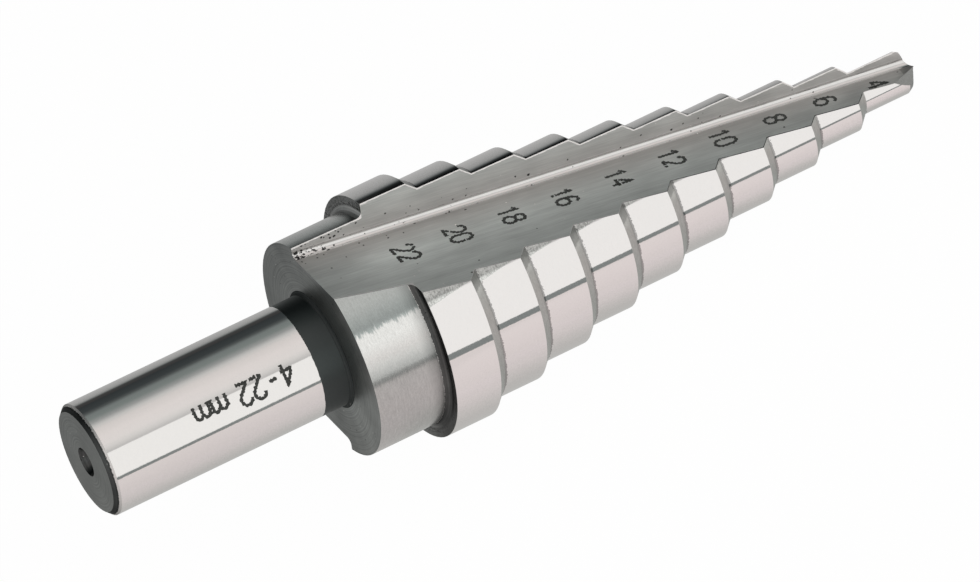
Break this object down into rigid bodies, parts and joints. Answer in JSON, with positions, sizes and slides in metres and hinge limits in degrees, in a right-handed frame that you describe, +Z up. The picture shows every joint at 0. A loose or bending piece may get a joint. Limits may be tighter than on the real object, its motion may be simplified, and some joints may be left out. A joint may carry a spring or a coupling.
{
  "type": "step drill",
  "caption": "Solid steel step drill with stepped cutting diameters, two straight flutes, a collar and a plain round shank.",
  "frame": {"origin": "on the drill's axis, halfway along the ground cylinder of the shank", "axes": "+Z up from the surface the drill lies on, +X level, the way the point looks; the axis dips below +X towards the point by about 9.9 degrees, because the drill lies on one flute's corners, nose down"},
  "size_m": [0.0795, 0.0216, 0.0205],
  "materials": {
    "ground_steel": "ground high speed steel"
  },
  "bodies": {
    "root": {"step_drill": "ground_steel"}
  },
  "joints": []
}
